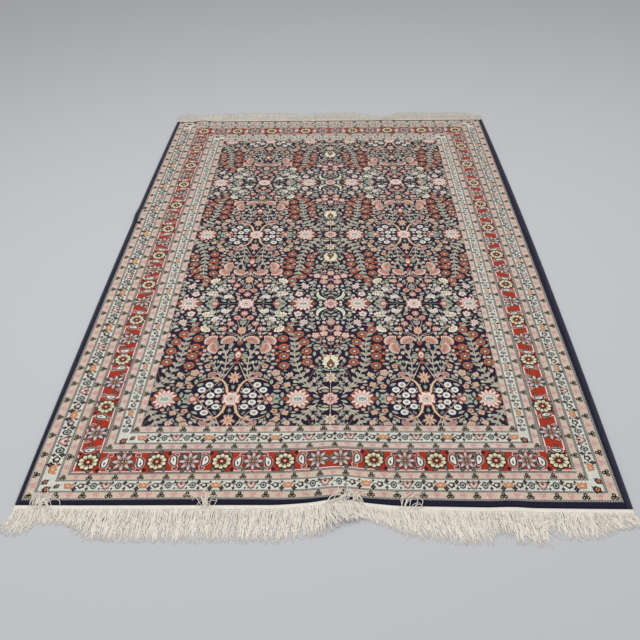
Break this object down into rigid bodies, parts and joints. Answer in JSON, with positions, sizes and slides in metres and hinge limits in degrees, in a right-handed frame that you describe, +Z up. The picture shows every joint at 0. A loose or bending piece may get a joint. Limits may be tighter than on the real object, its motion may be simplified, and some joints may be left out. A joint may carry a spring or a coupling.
{
  "type": "turkish rug",
  "caption": "Hand-knotted wool rug with overcast sides and a cotton fringe at both ends, lying flat on a floor.",
  "frame": {"origin": "on the floor under the middle of the rug's box, fringes included", "axes": "+X across the rug to the right, +Y along the rug away from the viewer, +Z up"},
  "size_m": [1.7548, 2.76, 0.0173],
  "materials": {
    "wool_pile": "cut wool pile in navy, rust red, cream, peach and grey green",
    "navy_overcast": "wool yarn wrapped over the side cords",
    "cotton_warp": "undyed plied cotton, woven flat and hanging loose"
  },
  "bodies": {
    "root": {"rug": "wool_pile", "binding_left": "navy_overcast", "binding_right": "navy_overcast", "fringe_near": "cotton_warp", "fringe_far": "cotton_warp"}
  },
  "joints": []
}
